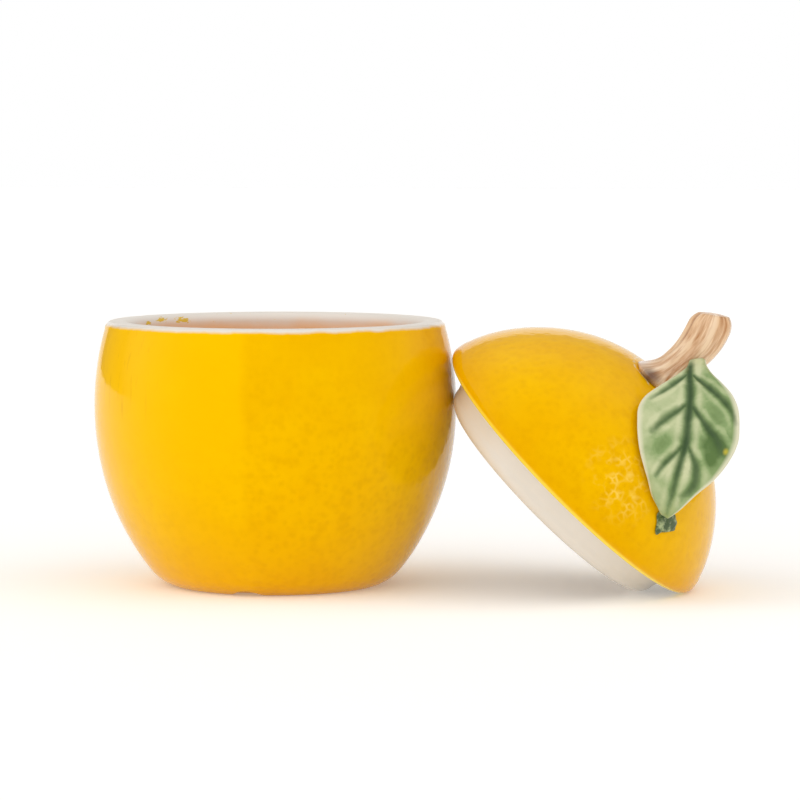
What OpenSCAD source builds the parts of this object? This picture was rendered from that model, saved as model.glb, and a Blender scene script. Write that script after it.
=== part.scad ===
// Jam pot in the shape of a lemon, in glazed ceramic: a round pot with a thick lip, and a domed lid
// with a locating ring underneath, a stalk for a handle and a leaf laid over one side.
// The lid is shown taken off. It leans on the pot's side, on the +X side, and its own axis lies in
// the XZ plane. The origin is the centre of the pot's foot, on the table, with +Z up.

/* [Pot] */
// Widest diameter of the pot
pot_d = 101; // [90:0.5:120]
// Height from the table to the crest of the lip
pot_h = 73.5; // [66:0.5:86]
// Height of the widest place above the table
belly_h = 50; // [44:0.5:54]
// Half height of the whole egg shape that the side is a part of
egg_half_h = 63.5; // [60:0.5:80]
// Thickness of the wall
wall_t = 5; // [3:0.25:6.5]
// Thickness of the floor
floor_t = 6; // [4:0.25:9]

/* [Foot] */
// Diameter of the flat that the pot stands on
foot_d = 56.5; // [48:0.5:62]
// Height of the rounding between the foot and the side
foot_round = 4; // [2:0.25:6]
// Width of the shallow notch in the foot's edge
notch_w = 8.5; // [4:0.25:12]
// Height of the shallow notch in the foot's edge
notch_h = 1.4; // [0.6:0.1:2]
// Direction of the notch, round from the +X axis
notch_turn = -94; // [-180:1:180]

/* [Mouth] */
// Diameter of the mouth, which the lid's locating ring drops into
mouth_d = 80; // [72:0.5:84]
// Height of the straight neck and its rounded edge, down from the crest of the lip
neck_h = 12; // [8:0.5:16]
// Height of the curve from the neck out to the wall, inside
shoulder_h = 8; // [5:0.5:14]
// Rounding of the lip's outer edge
lip_round = 2.2; // [1:0.1:3]
// Rounding of the lip's inner edge
mouth_round = 2.6; // [1:0.1:3]
// Rounding between the floor and the wall, inside
floor_round = 8; // [4:0.5:12]

/* [Lid] */
// Widest diameter of the lid
lid_d = 92.5; // [88:0.5:98]
// Height of the lid's dome above its widest edge
dome_h = 35; // [28:0.1:42]
// Radius of the lid's rounded edge
lid_edge = 2.8; // [1.5:0.1:4]
// Thickness of the dome's shell
shell_t = 4.5; // [3:0.25:6]
// Thickness of the ledge between the lid's edge and its locating ring
ledge_t = 4.5; // [3:0.25:6]

/* [Locating ring] */
// How far the ring reaches down under the lid
ring_depth = 8.6; // [5:0.1:12]
// Wall of the ring
ring_t = 5.4; // [4.2:0.1:6]
// Clearance between the ring's widest place and the mouth, all round
ring_gap = 0.5; // [0.3:0.05:1.5]
// How much narrower the ring's side is at the bottom than at the top
ring_draft = 1.5; // [0:0.1:2.5]
// Rounding of the ring's outer bottom edge
ring_round = 4; // [1:0.1:4]

/* [Lean] */
// Tilt of the lid that leans on the pot, from upright
lid_tilt = 45; // [40:0.5:50]
// Clearance between the leaning lid and the pot's side
lean_gap = 0.3; // [0.3:0.05:1]

/* [Stalk] */
// Height of the stalk above the top of the dome
stalk_l = 22.2; // [18:0.1:28]
// Width of the foot where the stalk spreads over the dome
stalk_foot_d = 16.5; // [13:0.25:19]
// Width of the stalk at its neck
stalk_neck_d = 9.5; // [8:0.1:10.8]
// Width of the stalk near its cut end
stalk_end_d = 11.6; // [10:0.1:13.5]
// Angle of the cut end
stalk_cut = 4; // [0:1:15]
// How far the stalk stands to the front of the dome's axis
stalk_forward = 4.5; // [0:0.25:6]
// Depth of the grooves that run along the stalk
stalk_groove = 0.35; // [0.1:0.05:0.6]

/* [Leaf] */
// Width of the leaf
leaf_w = 27.2; // [22:0.2:34]
// Thickness of the leaf at its middle
leaf_t = 3.2; // [2.4:0.1:4]
// Thickness of the leaf at its edge
leaf_edge_t = 1.8; // [1.2:0.1:2.4]
// Width of the leaf where it joins the stalk
leaf_root_w = 4.8; // [3:0.1:7]
// Width of the leaf's blunt tip
leaf_tip_w = 3.8; // [2.5:0.1:5]
// Height of the leaf's root above the top of the dome
leaf_root_h = 10; // [8:0.1:14]
// Height of the leaf's tip above the lid's edge, on the dome
leaf_tip_h = 12.2; // [8:0.1:18]
// Direction of the leaf's tip round the dome, from the side that leans down
leaf_turn = -52; // [-60:0.5:-35]
// How far the leaf's edges curl towards the viewer
leaf_cup = 2.6; // [1:0.1:5]
// Width of the carved midrib
midrib_w = 2.6; // [1.5:0.1:4]
// Width of the carved side veins
vein_w = 2.1; // [1.2:0.1:3]
// Depth of the carving
vein_depth = 0.6; // [0.2:0.05:1]

/* [Tip pad] */
// Length of the pad of clay under the leaf's tip, down the dome
pad_l = 8; // [6:0.2:11]
// Width of the pad
pad_w = 7; // [5:0.2:9]
// Thickness of the pad
pad_t = 1; // [0.5:0.1:1.3]
// How far the pad's middle lies below the leaf's tip
pad_drop = 0.6; // [0:0.1:2.5]
// How far round the dome the pad's middle lies from the leaf's tip
pad_turn = 3.5; // [-5:0.5:5]

/* [Hidden] */

// The film of slip that the stalk, the leaf and the pad are stuck on with, left open as a gap
slip_t = 0.15;
// Overrun of every cut
over = 1;
// Counts of points along the curves
side_steps = 28;
arc_steps = 6;
dome_steps = 26;
$fn = 96;

pot_r = pot_d / 2;
foot_r = foot_d / 2;
mouth_r = mouth_d / 2;
lid_r = lid_d / 2;
pot_glaze = "#f2b705";
cream_glaze = "#e4dac8";

// A curve that starts and ends level, for shares from 0 to 1
function ease(share) = (1 - cos(180 * min(1, max(0, share)))) / 2;

// Radius of the pot's outside at a height above the table
function egg_r(z) = pot_r * sqrt(max(0, 1 - pow((z - belly_h) / egg_half_h, 2)));
function side_r(z) =
    egg_r(z) - (egg_r(0) - foot_r) * (1 - sqrt(1 - pow(max(0, 1 - max(0, z) / foot_round), 2)));

// Height of the foot of the straight neck, and the inside's radius at a height below it
neck_z = pot_h - neck_h;
function inside_r(z) =
    mouth_r + (side_r(z) - wall_t - mouth_r) * ease((neck_z - z) / shoulder_h);

// Points on a quarter turn of an ellipse about a centre, from one angle to another
function arc(centre, across, up, from, to) =
    [for (i = [0:arc_steps]) let (q = from + (to - from) * i / arc_steps)
        centre + [across * cos(q), up * sin(q)]];

module pot_profile() {
    lip_z = pot_h - lip_round;
    basin_z = floor_t + floor_round;
    foot_arc = [for (i = [0:arc_steps]) let (z = foot_round * (1 - cos(90 * i / arc_steps)))
        [side_r(z), z]];
    side = [for (i = [1:side_steps - 1]) let (z = foot_round + (lip_z - foot_round) * i / side_steps)
        [side_r(z), z]];
    lip_arc = arc([side_r(lip_z) - lip_round, lip_z], lip_round, lip_round, 0, 90);
    mouth_arc = arc([mouth_r + mouth_round, pot_h - mouth_round], mouth_round, mouth_round, 90, 180);
    wall = [for (i = [0:side_steps - 1]) let (z = neck_z + (basin_z - neck_z) * i / side_steps)
        [inside_r(z), z]];
    floor_arc = arc([inside_r(basin_z) - floor_round, basin_z], floor_round, floor_round, 0, -90);
    polygon(concat([[0, 0]], foot_arc, side, lip_arc, mouth_arc, wall, floor_arc, [[0, floor_t]]));
}

// The notch is cut by a round bar that lies along a radius of the foot
module foot_notch() {
    bar_r = (pow(notch_w / 2, 2) + pow(notch_h, 2)) / (2 * notch_h);
    rotate([0, 0, notch_turn]) translate([foot_r - notch_w / 2, 0, notch_h - bar_r])
        rotate([0, 90, 0]) cylinder(r = bar_r, h = notch_w + foot_round + over);
}

module pot_body() {
    color(pot_glaze) difference() {
        rotate_extrude() pot_profile();
        foot_notch();
    }
}

// The lid's own frame has its origin at the middle of the flat that seats on the pot's lip.
// Height of the dome's outside, and of its inside, at a distance from the lid's axis
function dome_z(r) = lid_edge + dome_h * pow(max(0, 1 - pow(r / lid_r, 2)), 2 / 3);
vault_r = lid_r - shell_t;
vault_h = dome_h - shell_t;
function vault_z(r) = lid_edge + vault_h * pow(max(0, 1 - pow(r / vault_r, 2)), 2 / 3);
dome_top = dome_z(0);

// Radii of the locating ring, which come from the mouth that it drops into
ring_top_r = mouth_r - ring_gap;
ring_low_r = ring_top_r - ring_draft;
ring_in_r = ring_low_r - ring_t;
ring_in_round = ring_t - ring_round;

module dome_profile() {
    dome = [for (i = [1:dome_steps - 1]) let (r = lid_r * sin(90 * i / dome_steps)) [r, dome_z(r)]];
    edge = arc([lid_r - lid_edge, lid_edge], lid_edge, lid_edge, 0, -90);
    ledge_r = vault_r * sqrt(1 - pow((ledge_t - lid_edge) / vault_h, 3 / 2));
    vault = [for (i = [0:dome_steps - 1]) let (r = ledge_r * cos(90 * i / dome_steps)) [r, vault_z(r)]];
    polygon(concat([[0, dome_top]], dome, edge, [[ring_in_r, 0], [ring_in_r, ledge_t]], vault,
        [[0, vault_z(0)]]));
}

module ring_profile() {
    outer = arc([ring_low_r - ring_round, ring_round - ring_depth], ring_round, ring_round, 0, -90);
    inner = arc([ring_in_r + ring_in_round, ring_in_round - ring_depth], ring_in_round, ring_in_round,
        -90, -180);
    polygon(concat([[ring_in_r, 0], [ring_top_r, 0]], outer, inner));
}

// Where the leaning lid's frame lies: its edge rests on the table, and the first of its points to
// reach the pot's side, on its edge or its ring, stops at the clearance
lid_z = (lid_r - lid_edge) * sin(lid_tilt) + lid_edge * (1 - cos(lid_tilt));
lean_points = concat(
    arc([lid_r - lid_edge, lid_edge], lid_edge, lid_edge, 0, -90),
    arc([ring_low_r - ring_round, ring_round - ring_depth], ring_round, ring_round, 0, -90));
function lean_reach(p) =
    side_r(lid_z + p[0] * sin(lid_tilt) + p[1] * cos(lid_tilt)) + p[0] * cos(lid_tilt)
    - p[1] * sin(lid_tilt);
lid_x = lean_gap + max([for (p = lean_points) lean_reach(p)]);

module leaning() {
    translate([lid_x, 0, lid_z]) rotate([0, lid_tilt, 0]) children();
}

module lid_dome() {
    color(pot_glaze) leaning() rotate_extrude() dome_profile();
}

module lid_ring() {
    color(cream_glaze) leaning() rotate_extrude() ring_profile();
}

// A closed skin over a row of loops, each of as many points, with a fan at both ends
function middle(loop) = [for (k = [0:2]) let (n = len(loop)) [for (p = loop) p[k]] * [for (p = loop) 1 / n]];
module skin(loops) {
    n = len(loops[0]);
    last = len(loops) - 1;
    sides = [for (i = [0:last - 1]) for (j = [0:n - 1]) let (a = i * n + j, b = i * n + (j + 1) % n)
        each [[a, b, b + n], [a, b + n, a + n]]];
    low = [for (j = [0:n - 1]) [(last + 1) * n, (j + 1) % n, j]];
    high = [for (j = [0:n - 1]) [(last + 1) * n + 1, last * n + j, last * n + (j + 1) % n]];
    points = concat([for (loop = loops) each loop], [middle(loops[0]), middle(loops[last])]);
    polyhedron(points, concat(sides, low, high));
}

function unit(v) = v / norm(v);
function bezier(p, s) =
    p[0] * pow(1 - s, 3) + p[1] * 3 * s * pow(1 - s, 2) + p[2] * 3 * s * s * (1 - s) + p[3] * pow(s, 3);
function bezier_way(p, s) =
    unit((p[1] - p[0]) * pow(1 - s, 2) + (p[2] - p[1]) * 2 * s * (1 - s) + (p[3] - p[2]) * s * s);

// The point on the dome's outside at a distance from its axis and a direction round it, lifted
function on_dome(r, turn, lift) =
    let (e = lid_r / 1000, rise = (dome_z(r - e) - dome_z(r + e)) / (2 * e))
    [r * cos(turn), r * sin(turn), dome_z(r)] + lift * unit([rise * cos(turn), rise * sin(turn), 1]);

// Stalk: loops up a curve that bends one way and then back, grooved along its length
stalk_sides = 28;
stalk_steps = 22;
stalk_grooves = 7;
stalk_bend_shares = [[0, 0], [-0.04, 0.3], [0.1, 0.6], [-0.14, 1]];
stalk_line = [for (b = stalk_bend_shares)
    [b[0] * stalk_l, -stalk_forward, dome_top + slip_t + b[1] * stalk_l]];
foot_share = 0.26;
end_share = 0.86;
foot_lip_share = 0.06;

// Half width of the stalk at a share of its length
function stalk_r(s) =
    let (neck = stalk_neck_d / 2, end = stalk_end_d / 2, foot = stalk_foot_d / 2,
        body = neck + (end - neck) * ease((s - foot_share) / (end_share - foot_share)),
        flare = (foot - neck) * pow(max(0, 1 - s / foot_share), 2.4),
        cap = s < end_share ? 1 : sqrt(1 - pow((s - end_share) / (1 - end_share), 2.4) * 0.5))
    (body + flare) * cap;

// One point of a loop round the stalk: the cut end leans, and the lowest loops follow the dome
function stalk_point(s, turn) =
    let (way = bezier_way(stalk_line, s),
        groove = stalk_groove * ease(s / foot_share) * cos(stalk_grooves * turn),
        r = stalk_r(s) - groove, side = unit(cross([0, 1, 0], way)),
        flat = bezier(stalk_line, s) + r * (side * cos(turn) + [0, sin(turn), 0]),
        tilt = tan(stalk_cut) * ease((s - foot_share) / (end_share - foot_share)) * r * cos(turn))
    flat + way * tilt;

function drop_to_dome(p, lift) = [p[0], p[1], dome_z(norm([p[0], p[1]])) + lift];

module stalk() {
    turns = [for (j = [0:stalk_sides - 1]) -360 * j / stalk_sides];
    under_shares = [0.25, 0.5, 0.75, 0.94];
    foot_loop = [for (q = turns) stalk_point(0, q)];
    foot_middle = stalk_line[0];
    under = [for (u = under_shares) [for (p = foot_loop)
        drop_to_dome(foot_middle + (p - foot_middle) * u, slip_t)]];
    rim = [for (p = foot_loop) drop_to_dome(p, slip_t + foot_lip_share * stalk_l / 2)];
    body = [for (i = [1:stalk_steps]) let (s = foot_lip_share + (1 - foot_lip_share) * i / stalk_steps)
        [for (q = turns) let (p = stalk_point(s, q), low = drop_to_dome(p, slip_t + foot_lip_share * stalk_l))
            [p[0], p[1], max(p[2], low[2])]]];
    color("#c99a6c") leaning() skin(concat(under, [rim], body));
}

// Leaf: a slab of clay that leaves the stalk forwards and droops over the dome to its tip
leaf_steps = 40;
leaf_front = 26;
leaf_back = 6;
leaf_yaw = 12;
leaf_rise = 10;
leaf_face = [-sin(leaf_yaw), -cos(leaf_yaw) * cos(leaf_rise), sin(leaf_rise)];
pad_seat_share = 0.55;
leaf_lift = leaf_edge_t / 2 + pad_seat_share * pad_t + 2 * slip_t;
leaf_tip_r = lid_r * sqrt(1 - pow(leaf_tip_h / dome_h, 3 / 2));
leaf_tip = on_dome(leaf_tip_r, leaf_turn, leaf_lift);
root_share = leaf_root_h / stalk_l;
root_turn = -66;
leaf_root = let (reach = stalk_r(root_share) + leaf_edge_t / 2 + slip_t,
        base = bezier(stalk_line, root_share))
    base + reach * [cos(root_turn), sin(root_turn), 0];
leaf_way = leaf_tip - leaf_root;
leaf_bend_shares = [[0, 0, 0], [0.16, 0.55, 0.1], [0.78, 1.28, 0.49], [1, 1, 1]];
leaf_line = [for (b = leaf_bend_shares) leaf_root + [for (k = [0:2]) b[k] * leaf_way[k]]];
leaf_l = norm(leaf_way);
// Each side vein leaves the midrib at the first share of its length and ends at the second, at the
// third share of the way out to the leaf's edge
vein_shares = [[0.13, 0.34, -0.95], [0.36, 0.57, -0.72], [0.6, 0.79, -0.68],
    [0.14, 0.45, 0.9], [0.37, 0.65, 0.88], [0.59, 0.74, 0.5]];
vein_slant = 25;
vein_sweep = 0.85;

// The leaf was cut by hand, so its two sides differ. Each has a row of widths at even steps along the
// leaf, as shares of half its width, between a root that lies mostly on one side and a blunt tip
leaf_left_shares = [0.147, 0.294, 0.522, 0.772, 0.938, 0.97, 0.941, 0.853, 0.72, 0.566, 0.382];
leaf_right_shares = [0.257, 0.371, 0.57, 0.787, 0.956, 1.026, 1.033, 0.912, 0.706, 0.441, 0.265];
root_left_share = 0.25;
function leaf_widths(shares, root) =
    concat([root * leaf_root_w], [for (w = shares) w * leaf_w / 2], [leaf_tip_w / 2]);
leaf_left = leaf_widths(leaf_left_shares, root_left_share);
leaf_right = leaf_widths(leaf_right_shares, 1 - root_left_share);

// A smooth curve through a row of values at even steps
function through(row, s) =
    let (last = len(row) - 1, i = min(last - 1, floor(s * last)), f = s * last - i,
        a = row[max(0, i - 1)], b = row[i], c = row[i + 1], d = row[min(last, i + 2)])
    b + f / 2 * (c - a + f * (2 * a - 5 * b + 4 * c - d + f * (3 * (b - c) + d - a)));

// Half width of the leaf on one side, at a share of its length
function leaf_half_w(s, t) = through(t < 0 ? leaf_left : leaf_right, s) * sqrt(1 - 0.7 * pow(s, 30));

function midrib_cut(s, x) = exp(-pow(2 * x / midrib_w, 2)) * min(1, 4 * (1 - s));
function vein_cut(s, t, vein) =
    let (u = t / vein[2], line = vein[0] + (vein[1] - vein[0]) * pow(max(0, u), vein_sweep),
        off = abs(s - line) * leaf_l * cos(vein_slant))
    u <= 0 || u >= 1 ? 0 : exp(-pow(2 * off / vein_w, 2)) * (1 - pow(u, 4));
function carving(s, t) =
    vein_depth * max(concat([midrib_cut(s, t * leaf_half_w(s, t))],
        [for (v = vein_shares) vein_cut(s, t, v)]));

// Thickness of the leaf: it thins towards its edges and its tip
function leaf_thick(s, t) = leaf_t + (leaf_edge_t - leaf_t) * max(t * t, pow(s, 8));

// One loop round the leaf, the carved front first and then the plain back
function leaf_loop(s) =
    let (way = bezier_way(leaf_line, s), across = unit(cross(leaf_face, way)), out = cross(way, across),
        centre = bezier(leaf_line, s), halves = [leaf_half_w(s, -1), leaf_half_w(s, 1)])
    concat(
        [for (j = [0:leaf_front]) let (t = 2 * j / leaf_front - 1, half = halves[t < 0 ? 0 : 1])
            centre + across * half * t + out * (leaf_cup * half / (leaf_w / 2) * t * t
                + leaf_thick(s, t) / 2 - carving(s, t))],
        [for (j = [0:leaf_back]) let (t = 1 - 2 * j / leaf_back, half = halves[t < 0 ? 0 : 1])
            centre + across * half * t + out * (leaf_cup * half / (leaf_w / 2) * t * t
                - leaf_thick(s, t) / 2)]);

module leaf() {
    color("#7f9a62") leaning() skin([for (i = [0:leaf_steps]) leaf_loop(i / leaf_steps)]);
}

// Tip pad: a low mound that follows the dome, under and below the leaf's tip
pad_sides = 20;
pad_rings = 5;
pad_r = leaf_tip_r + pad_drop * dome_h / norm([dome_h, lid_r]);
function pad_point(share, turn, lift) =
    let (down = share * pad_l / 2 * cos(turn) * dome_h / norm([dome_h, lid_r]),
        aside = share * pad_w / 2 * sin(turn))
    on_dome(pad_r + down, leaf_turn + pad_turn + aside / pad_r * 180 / PI, lift);

module leaf_tip_pad() {
    turns = [for (j = [0:pad_sides - 1]) -360 * j / pad_sides];
    under = [for (i = [1:pad_rings]) [for (q = turns) pad_point(i / pad_rings, q, slip_t)]];
    over_top = [for (i = [pad_rings:-1:1]) let (u = i / (pad_rings + 0.5))
        [for (q = turns) pad_point(u, q, slip_t + pad_t * sqrt(1 - u * u))]];
    color("#3f5a35") leaning() skin(concat(under, over_top));
}

pot_body();
lid_dome();
lid_ring();
stalk();
leaf();
leaf_tip_pad();
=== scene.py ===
# %% [markdown]
# # A glazed jam pot in the shape of a lemon
# The pot and its lid are earthenware: cast in moulds, painted with coloured glazes, and fired until the
# glazes melt into glass. This lesson builds every visible surface as a mesh in the CAD frame, and gives
# each one the glaze that it has on the real pot. All shapes are worked out in millimetres, and are
# brought to metres, and to their place, at the end. Materials read coordinates in metres.

import math

import bmesh
import bpy
from mathutils import Matrix, Vector, kdtree, noise


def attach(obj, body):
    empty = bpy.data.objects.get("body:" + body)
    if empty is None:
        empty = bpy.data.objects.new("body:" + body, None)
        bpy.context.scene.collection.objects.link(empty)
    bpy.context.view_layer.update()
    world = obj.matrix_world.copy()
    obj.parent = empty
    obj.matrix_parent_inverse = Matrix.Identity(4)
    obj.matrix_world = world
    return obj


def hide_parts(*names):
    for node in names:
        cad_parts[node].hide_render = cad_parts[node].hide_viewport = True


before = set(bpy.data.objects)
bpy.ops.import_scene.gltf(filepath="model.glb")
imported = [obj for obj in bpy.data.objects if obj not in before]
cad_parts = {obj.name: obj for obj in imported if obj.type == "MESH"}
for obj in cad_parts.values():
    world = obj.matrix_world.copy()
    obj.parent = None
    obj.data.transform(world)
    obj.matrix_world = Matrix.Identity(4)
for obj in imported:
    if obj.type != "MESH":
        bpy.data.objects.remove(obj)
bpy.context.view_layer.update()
scene = bpy.context.scene
print("CAD nodes:", sorted(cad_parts))

# %% [markdown]
# ## The camera
# The photograph was taken from a metre away with a long lens, so the rim is seen almost edge on. The
# camera's place was worked out by fitting the outlines of the pot and the lid. A lens of 161 mm on a
# 36 mm sensor gives the same field of view, with no shift and no depth of field.

# %% Put the camera at the photograph's viewpoint
camera = bpy.data.objects.new("camera", bpy.data.cameras.new("camera"))
scene.collection.objects.link(camera)
camera.data.sensor_width = 36
camera.data.lens = 161.4
camera.location = (0.2004, -0.9773, 0.1281)
aim = Vector((0.03416, 0.00578, 0.05117))
camera.rotation_euler = (aim - camera.location).to_track_quat("-Z", "Y").to_euler()
scene.camera = camera
print("distance to the pot in m:", round(camera.location.length, 3))

# %% [markdown]
# ## Colours and nodes
# A hex colour is written for the screen, and a shader wants linear light, so one function turns one into
# the other. A second one adds a node with its settings and its links, which keeps every material below
# short enough to read. The last two start a material and finish it.


# %% Helpers for the materials
def linear(hex_colour):
    """An sRGB colour such as "fcc404" as linear red, green, blue and alpha."""
    parts = [int(hex_colour[i:i + 2], 16) / 255 for i in (0, 2, 4)]
    return [p / 12.92 if p <= 0.04045 else ((p + 0.055) / 1.055) ** 2.4 for p in parts] + [1.0]


def node(tree, kind, inputs=None, **settings):
    """Adds a node. Each input is set to a value, or linked when it is given another node's output."""
    made = tree.nodes.new("ShaderNode" + kind)
    for key, value in settings.items():
        setattr(made, key, value)
    for key, value in (inputs or {}).items():
        if isinstance(value, bpy.types.NodeSocket):
            tree.links.new(value, made.inputs[key])
        else:
            made.inputs[key].default_value = value
    return made


def new_material(name):
    """An empty node material, and its tree."""
    material = bpy.data.materials.new(name)
    material.use_nodes = True
    material.node_tree.nodes.clear()
    return material, material.node_tree


def finish_material(material, shader):
    """Links the shader to the material's output."""
    node(material.node_tree, "OutputMaterial", {0: shader.outputs[0]})
    print(material.name, "has", len(material.node_tree.nodes), "nodes")


# %% [markdown]
# ## The floor
# The floor is a plain white sheet of acrylic, lit softly from below. Shop photographs are taken on such
# a table, because it takes the shadows away and throws light up under the pot and the lid.

# %% Lay the floor
FLOOR_REACH_M = 6
sheet = bmesh.new()
bmesh.ops.create_grid(sheet, x_segments=1, y_segments=1, size=FLOOR_REACH_M)
floor = bpy.data.objects.new("floor", bpy.data.meshes.new("floor"))
sheet.to_mesh(floor.data)
sheet.free()
scene.collection.objects.link(floor)
acrylic, tree = new_material("white_acrylic_lit_from_below")
matt = node(tree, "BsdfPrincipled", {"Base Color": linear("fbfbfa"), "Roughness": 0.9,
                                     "Specular IOR Level": 0.1, "Emission Color": linear("ffffff"),
                                     "Emission Strength": 0.18})
finish_material(acrylic, matt)
floor.data.materials.append(acrylic)

# %% [markdown]
# ## The light
# The photographer used a white room with soft boxes: a large one in front on the left, a weaker one in
# front on the right, one overhead, and a lit white backdrop. A glaze is a mirror as well as a colour. The
# backdrop shows as the thin pale strips down the pot's sides and along the top of the lid, because there
# the glaze mirrors most. A black flag stands on each side of the backdrop, so the yellow starts deep right
# after those strips. The boxes are painted on the world: each is a round patch of sky, bright where a
# ray's direction comes close to the box's own direction. A flag is the same with light taken away.

# %% Light the room
SKY_BELOW, SKY_ABOVE = 0.31, 0.5
BOXES = [  # each one's direction, the cosines at its rim and at its core, and its strength
    ((-0.72, -0.60, 0.34), 0.55, 0.8, 0.9),  # in front on the left
    ((0.87, -0.36, 0.34), 0.4, 0.7, 0.56),  # in front on the right
    ((0, 0, 1), 0.7, 0.9, 0.32),  # overhead
    ((-0.167, 0.986, 0), 0.865, 0.885, 0.7),  # the backdrop, with a sharp edge
    ((-0.87, 0.49, 0), 0.6, 0.9, -0.16),  # the left flag
    ((0.87, 0.49, 0), 0.6, 0.9, -0.12),  # the right flag
]
scene.world = bpy.data.worlds.new("white_room")
scene.world.use_nodes = True
sky = scene.world.node_tree
sky.nodes.clear()
ray = node(sky, "TexCoord").outputs["Generated"]
height = node(sky, "SeparateXYZ", {0: ray}).outputs["Z"]
total = node(sky, "MapRange", {"Value": height, "To Min": SKY_BELOW, "To Max": SKY_ABOVE}).outputs[0]
for towards, rim, core, strength in BOXES:
    facing = node(sky, "VectorMath", {0: ray, 1: towards}, operation="DOT_PRODUCT")
    box = node(sky, "MapRange", {"Value": facing.outputs["Value"], "From Min": rim, "From Max": core,
                                 "To Max": strength})
    total = node(sky, "Math", {0: total, 1: box.outputs[0]}, operation="ADD").outputs[0]
given = node(sky, "Background", {"Color": linear("fffdfb"), "Strength": total})
seen = node(sky, "Background", {"Color": linear("ffffff"), "Strength": 1.0})
eye = node(sky, "LightPath").outputs["Is Camera Ray"]
room = node(sky, "MixShader", {0: eye, 1: given.outputs[0], 2: seen.outputs[0]})
node(sky, "OutputWorld", {0: room.outputs[0]})
scene.view_settings.view_transform = "Standard"
print("the room has", len(BOXES), "boxes and flags")

# %% [markdown]
# ## Turned shapes
# The pot, the dome and the ring are round, as a mould turned on a lathe leaves them. So each one starts
# as half of its section, a line of points, and the spin operator carries that line round the axis. The
# copies that meet on the axis and at the seam are merged, and then the normals are made to face outwards.
# A cast wall is never quite true, so a slow noise pulls it in by up to about a fifth of a millimetre.
# That is what makes the mirrored lamps waver. It only pulls inwards, so the walls stay inside the CAD's
# size.


# %% Helpers for the shapes
def quarter(centre, across, up, start, end, steps=8):
    """Points of an ellipse about a centre, from one angle to another, in degrees."""
    angles = [math.radians(start + (end - start) * i / steps) for i in range(steps + 1)]
    return [(centre[0] + across * math.cos(a), centre[1] + up * math.sin(a)) for a in angles]


def ease(share):
    """A curve that starts and ends level, for shares from 0 to 1."""
    return (1 - math.cos(math.pi * min(1, max(0, share)))) / 2


def waver(point, depth, length):
    """How far in a cast wall lies at a point: up to a depth, in waves of about a length."""
    return depth * (0.5 + 0.5 * noise.noise(point / length))


def turned(profile, steps, closed=False, marks=(0, 0)):
    """Spins a section of (radius, height) points. Points between the two indices are marked inside."""
    bm = bmesh.new()
    inside = bm.verts.layers.float.new("inside")
    dots = [bm.verts.new((r, 0, z)) for r, z in profile]
    for i in range(*marks):
        dots[i][inside] = 1.0
    for a, b in zip(dots, dots[1:] + dots[:1] if closed else dots[1:]):
        bm.edges.new((a, b))
    bmesh.ops.spin(bm, geom=bm.verts[:] + bm.edges[:], cent=(0, 0, 0), axis=(0, 0, 1), dvec=(0, 0, 0),
                   angle=math.tau, steps=steps, use_merge=True, use_duplicate=False)
    bmesh.ops.remove_doubles(bm, verts=bm.verts, dist=0.001)
    bmesh.ops.recalc_face_normals(bm, faces=bm.faces)
    return bm


def finish_piece(bm, name, place, looks, body, cad_nodes):
    """Makes an object of a mesh in mm: sets its place in its mesh, its glazes, and what it stands for."""
    mesh = bpy.data.meshes.new(name)
    bm.to_mesh(mesh)
    bm.free()
    mesh.transform(place @ Matrix.Scale(0.001, 4))
    mesh.shade_smooth()
    piece = bpy.data.objects.new(name, mesh)
    scene.collection.objects.link(piece)
    for look in looks:
        mesh.materials.append(look)
    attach(piece, body)
    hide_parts(*cad_nodes)
    print(name, "has", len(mesh.polygons), "faces and measures",
          [round(d * 1000, 1) for d in piece.dimensions], "mm")


# %% [markdown]
# ## The yellow glaze
# The mould gave the clay the dimples of lemon peel, about 2 mm apart. The yellow glaze ran into them
# while it was molten, so it is a little deeper in each dimple and brighter between them. A Voronoi
# texture makes the dimples, its smooth kind so that they melt into each other, and a fine noise makes
# them uneven. Over that, the colour drifts over a few centimetres, where the brush laid it thicker.
# The glaze is glassy, with a roughness of 0.07. A deep yellow glass colours what it mirrors face on, so
# the specular tint is yellow, while along the edges its mirror stays white, as on every glaze.

# %% The yellow glaze, for the pot and for the dome
DEEP_YELLOW = linear("dfa000")


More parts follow.
